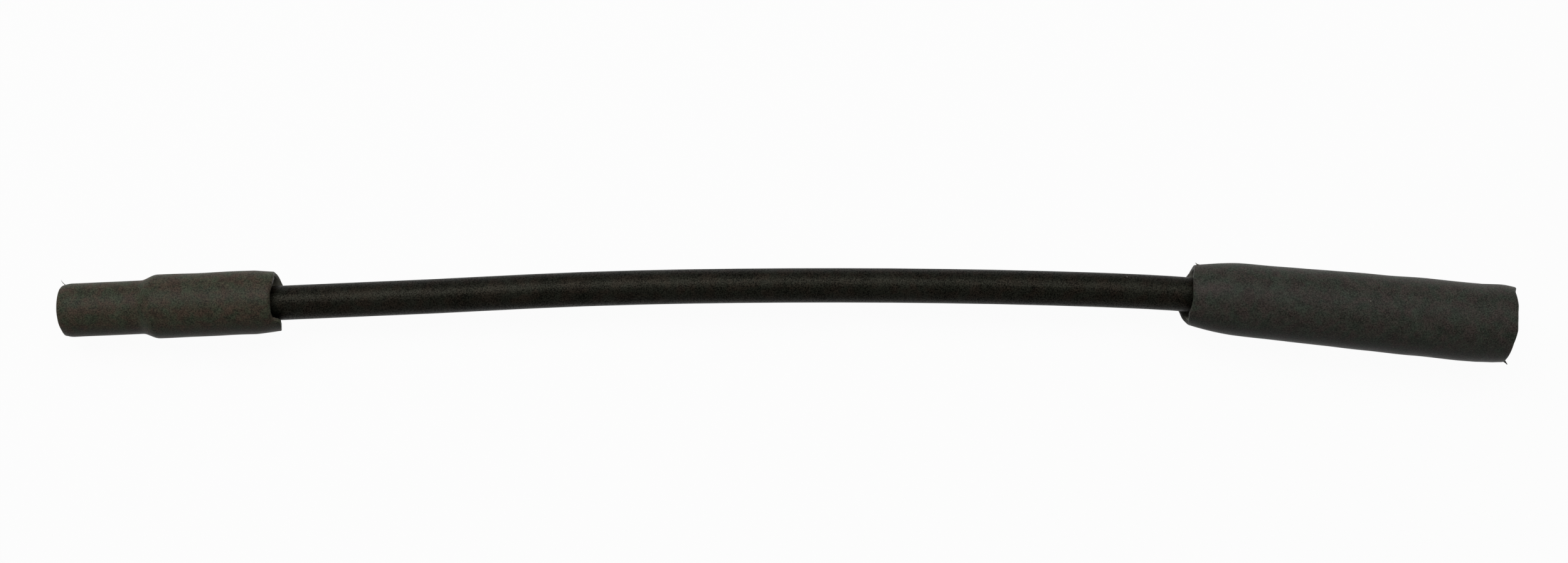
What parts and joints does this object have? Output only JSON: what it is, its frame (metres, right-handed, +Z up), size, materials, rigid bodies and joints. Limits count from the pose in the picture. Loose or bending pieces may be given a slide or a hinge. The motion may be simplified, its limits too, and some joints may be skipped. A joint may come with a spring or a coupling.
{
  "type": "cable shutter release",
  "caption": "Push-wire cable shutter release: curved black cable with a swivelling threaded camera socket and a sliding spring-return grip, each under heat-shrink sleeve.",
  "frame": {"origin": "centre of the mouth of the threaded socket that screws onto the camera", "axes": "+X runs from the camera into the release, along the socket's axis; +Z is up as the release lies on a table; the cable curves towards -Y and the grip's axis is turned 8 degrees to that side"},
  "size_m": [0.1975, 0.0195, 0.0106],
  "materials": {
    "shrink_tube": "matte, finely grained",
    "jacket": "satin",
    "steel": "drawn, bright",
    "nickel_plate": "satin nickel plate",
    "brass": "turned",
    "bronze": "sintered",
    "aluminium": "turned",
    "nylon": "moulded"
  },
  "bodies": {
    "cable": {"jacket": "jacket", "conduit": "steel", "tip_ferrule": "nickel_plate", "pin_guide": "brass", "friction_washer": "steel", "grip_ferrule": "nickel_plate", "guide_tube": "brass", "spring_seat": "steel", "return_spring": "steel", "gland_nut": "brass"},
    "swivel": {"tip_sleeve": "shrink_tube", "socket_nose": "nickel_plate", "swivel_collar": "brass", "collar_bush": "bronze"},
    "pin": {"release_pin": "steel", "pin_joiner": "brass", "wire_front": "steel"},
    "wire": {"wire_middle": "steel"},
    "grip": {"grip_sleeve": "shrink_tube", "thumb_barrel": "aluminium", "barrel_bush": "nylon", "end_cap": "aluminium", "cap_pin": "steel", "plunger_rod": "steel", "piston": "brass", "wire_rear": "steel"}
  },
  "joints": [
    {"name": "swivel_turn", "type": "hinge", "parent": "cable", "child": "swivel", "pos_m": [0.02, 0, 0], "axis": [-1, 0, 0], "continuous": true},
    {"name": "grip_slide", "type": "slide", "parent": "cable", "child": "grip", "axis": [-0.9903, 0.1392, 0], "range_m": [0, 0.007], "stiffness_N_per_m": 400, "springref_m": -0.005, "deforming": ["return_spring"]},
    {"name": "pin_slide", "type": "slide", "parent": "cable", "child": "pin", "axis": [-1, 0, 0], "range_m": [0, 0.007]},
    {"name": "wire_turn", "type": "hinge", "parent": "cable", "child": "wire", "pos_m": [0.058, -0.875, 0], "axis": [0, 0, 1], "range_deg": [0, 0.4589]}
  ],
  "couplings": [
    {"joint": "pin_slide", "follows": "grip_slide", "ratio": 1},
    {"joint": "wire_turn", "follows": "grip_slide", "rad_per_m": 1.1429}
  ]
}
